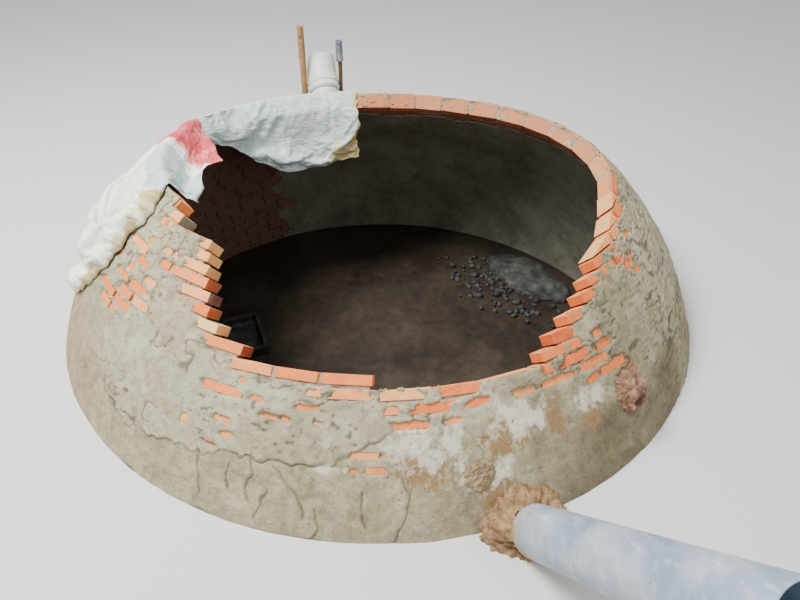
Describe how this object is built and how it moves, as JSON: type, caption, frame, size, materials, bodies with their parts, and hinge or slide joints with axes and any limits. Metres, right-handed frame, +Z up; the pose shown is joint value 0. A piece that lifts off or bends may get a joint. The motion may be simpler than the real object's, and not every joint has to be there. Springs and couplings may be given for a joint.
{
  "type": "biogas digester dome under construction",
  "caption": "Domed brick chamber with an open, unfinished crown, a plastered outside, slanted inlet and outlet pipes through the wall, and sacks laid over the rim.",
  "frame": {"origin": "on the dome's axis at the underside of the floor slab", "axes": "+Z up along the dome's axis, -Y towards the low side of the mouth and the inlet pipe, +X to the right seen from there"},
  "size_m": [3.7276, 4.5273, 1.8121],
  "materials": {
    "plaster": "rough cement render over brick",
    "brick": "rough fired clay",
    "mortar": "rough wet mortar",
    "pipe": "dusty grey drain pipe",
    "pipe_light": "pale grey drain pipe",
    "bamboo": "weathered bamboo",
    "wood": "dark weathered wood",
    "sleeve": "worn blue-grey plastic",
    "sack": "dirty woven plastic sacking"
  },
  "bodies": {
    "root": {"lower_wall_01": "plaster", "lower_wall_02": "plaster", "lower_wall_03": "plaster", "lower_wall_04": "plaster", "lower_wall_05": "plaster", "lower_wall_06": "plaster", "lower_wall_07": "plaster", "lower_wall_08": "plaster", "lower_wall_09": "plaster", "lower_wall_10": "plaster", "lower_wall_11": "plaster", "lower_wall_12": "plaster", "upper_wall_01": "plaster", "upper_wall_02": "plaster", "upper_wall_03": "plaster", "upper_wall_04": "plaster", "upper_wall_05": "plaster", "upper_wall_06": "plaster", "upper_wall_07": "plaster", "upper_wall_08": "plaster", "upper_wall_09": "plaster", "upper_wall_10": "plaster", "upper_wall_11": "plaster", "upper_wall_12": "plaster", "floor_slab": "mortar", "sump_curb": "brick", "inlet_pipe": "pipe", "inlet_collar": "mortar", "outlet_pipe": "pipe_light", "outlet_socket": "pipe_light", "outlet_collar": "mortar", "bamboo_stake": "bamboo", "pole_stake": "wood", "pole_head": "sleeve", "flank_sack": "sack", "rim_sack": "sack", "side_lump": "mortar", "front_lump": "mortar", "mortar_heap": "mortar"}
  },
  "joints": []
}
